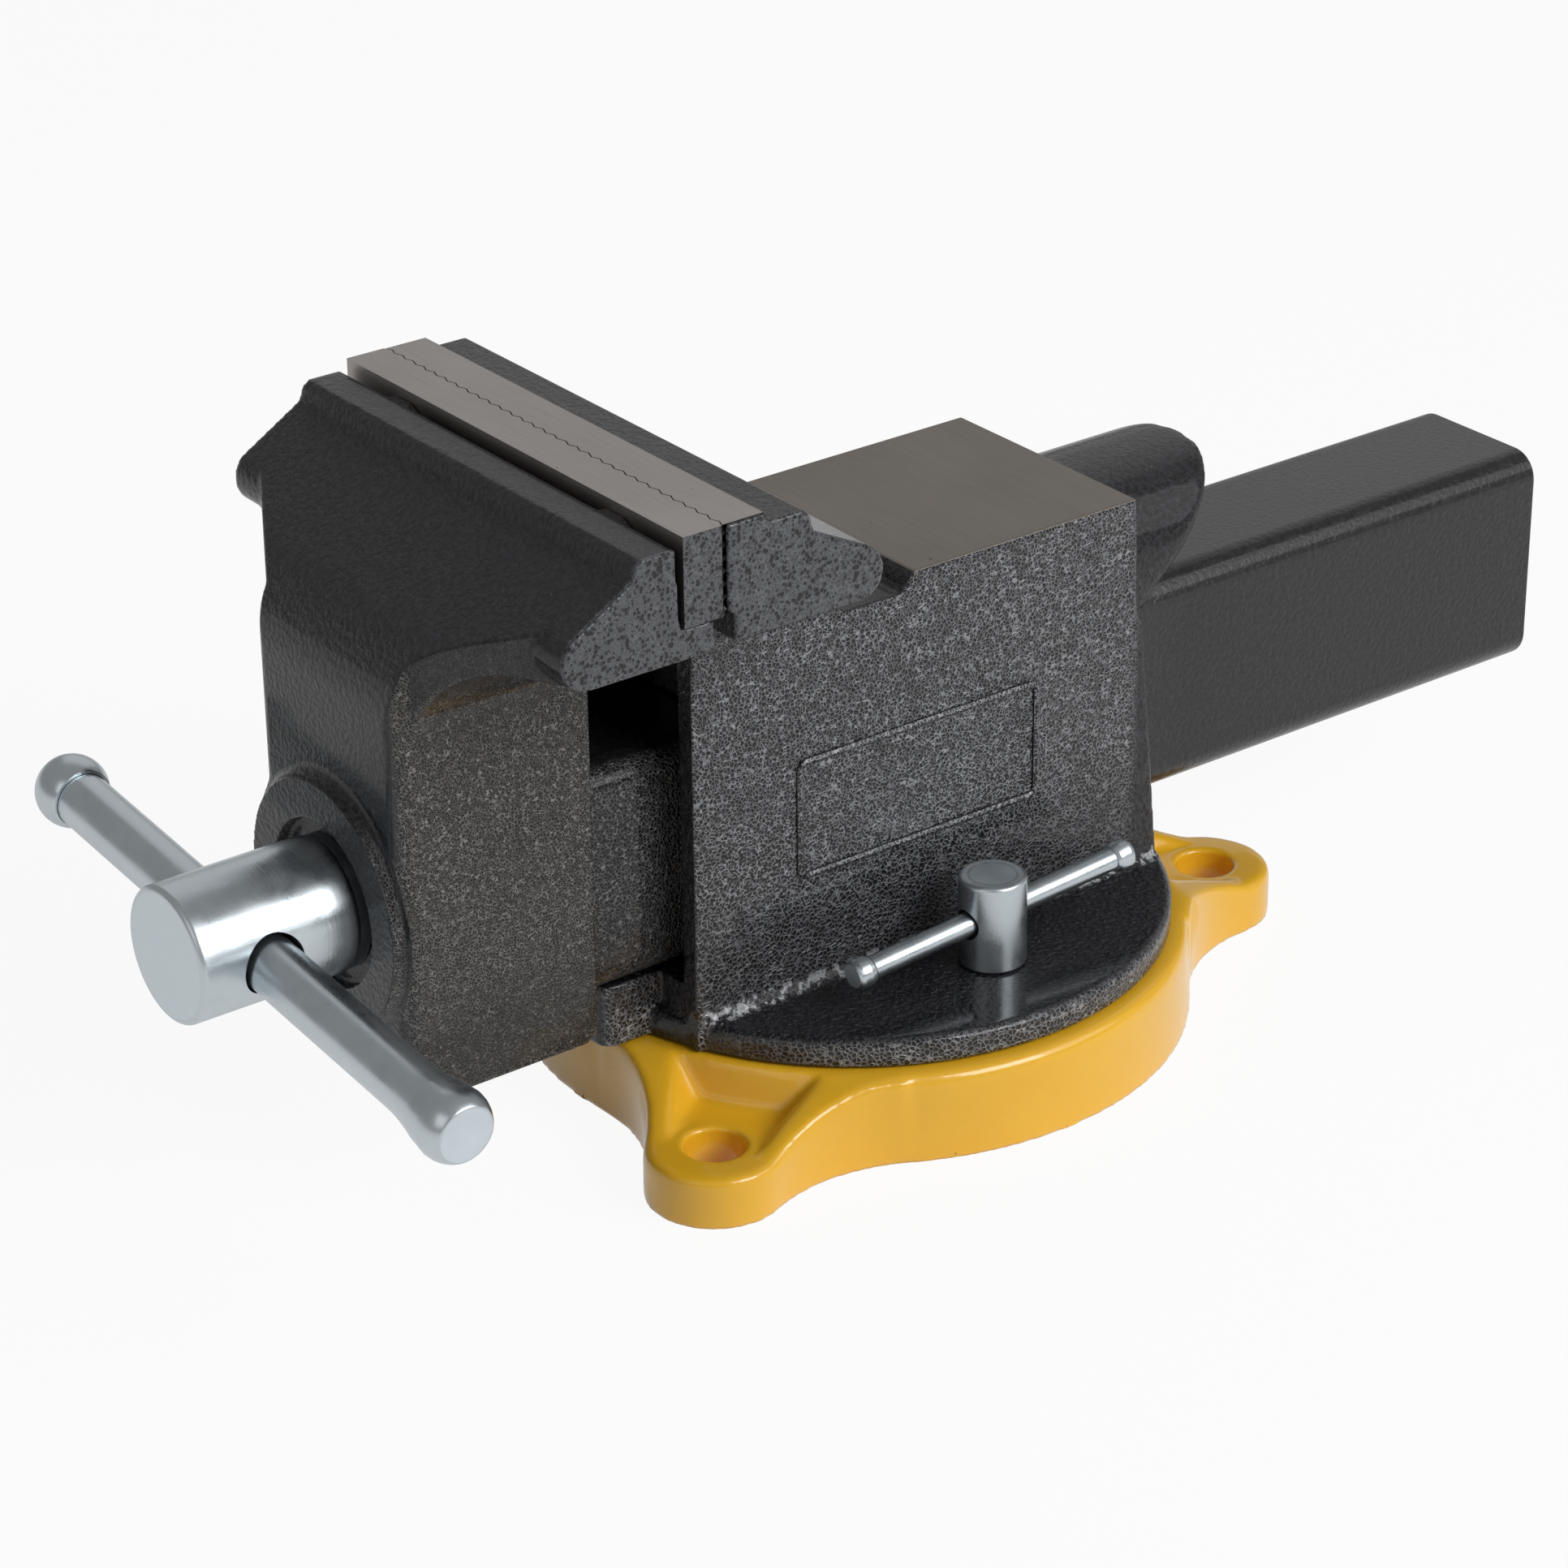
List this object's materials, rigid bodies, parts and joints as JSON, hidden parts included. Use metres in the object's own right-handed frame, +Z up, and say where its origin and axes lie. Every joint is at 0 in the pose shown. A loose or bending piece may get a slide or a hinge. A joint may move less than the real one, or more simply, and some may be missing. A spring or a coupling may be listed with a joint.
{
  "type": "bench vise",
  "caption": "Cast bench vise on a swivel base: screw-driven sliding jaw on a square-section beam, steel jaw plates, anvil, round horn, sliding tommy bar and lock bolts.",
  "frame": {"origin": "On the swivel axis, at bench level (the underside of the base).", "axes": "+Z up along the swivel axis; +Y from the operator's side (screw head and handle) to the free end of the slide beam; +X to the operator's right."},
  "size_m": [0.1843, 0.384, 0.165],
  "materials": {
    "hammered_paint": "hammer-finish paint, dark grey, on rough cast iron",
    "beam_paint": "satin black paint on a drawn steel tube",
    "yellow_enamel": "gloss golden-yellow enamel on cast iron",
    "ground_steel": "surface-ground hardened steel",
    "zinc_plate": "bright bluish zinc plating on turned steel",
    "black_steel": "blackened, oiled steel",
    "cast_nut": "bare greased cast iron"
  },
  "bodies": {
    "base": {"swivel_base": "yellow_enamel"},
    "body": {"fixed_body": "hammered_paint", "fixed_jaw_plate": "ground_steel", "fixed_jaw_screws": "black_steel", "main_nut": "cast_nut", "nut_bolt": "black_steel", "pivot_bolt": "zinc_plate", "pivot_washer": "zinc_plate", "clamp_nuts": "black_steel"},
    "moving": {"moving_jaw": "hammered_paint", "moving_jaw_plate": "ground_steel", "moving_jaw_screws": "black_steel", "slide_beam": "beam_paint", "beam_bolts": "black_steel", "thrust_washer": "zinc_plate", "jaw_spring": "black_steel"},
    "screw": {"main_screw": "zinc_plate", "screw_collar": "black_steel", "collar_pin": "black_steel"},
    "handle": {"handle_bar": "zinc_plate", "handle_cap": "zinc_plate"},
    "lock_right": {"lock_bolt_right": "zinc_plate"},
    "lock_right_bar": {"lock_bar_right": "zinc_plate", "lock_cap_right": "zinc_plate"},
    "lock_left": {"lock_bolt_left": "zinc_plate"},
    "lock_left_bar": {"lock_bar_left": "zinc_plate", "lock_cap_left": "zinc_plate"}
  },
  "joints": [
    {"name": "swivel", "type": "hinge", "parent": "base", "child": "body", "pos_m": [0, 0, 0], "axis": [0, 0, 1], "continuous": true},
    {"name": "jaw_slide", "type": "slide", "parent": "body", "child": "moving", "axis": [0, -1, 0], "range_m": [0, 0.127]},
    {"name": "screw_turn", "type": "hinge", "parent": "moving", "child": "screw", "pos_m": [0, -0.1, 0.0715], "axis": [0, -1, 0], "range_deg": [0, 9145]},
    {"name": "handle_slide", "type": "slide", "parent": "screw", "child": "handle", "axis": [0.9951, 0, -0.0993], "range_m": [-0.0565, 0.0475]},
    {"name": "lock_turn_right", "type": "hinge", "parent": "body", "child": "lock_right", "pos_m": [0.0484, 0.0025, 0.04], "axis": [0, 0, 1], "range_deg": [-10, 10]},
    {"name": "lock_bar_slide_right", "type": "slide", "parent": "lock_right", "child": "lock_right_bar", "axis": [0, 0.9976, 0.0698], "range_m": [-0.027, 0.027]},
    {"name": "lock_turn_left", "type": "hinge", "parent": "body", "child": "lock_left", "pos_m": [-0.0484, 0.0025, 0.04], "axis": [0, 0, 1], "range_deg": [-10, 10]},
    {"name": "lock_bar_slide_left", "type": "slide", "parent": "lock_left", "child": "lock_left_bar", "axis": [0, 0.9976, 0.0698], "range_m": [-0.027, 0.027]}
  ],
  "couplings": [
    {"joint": "screw_turn", "follows": "jaw_slide", "rad_per_m": 1256.6}
  ]
}
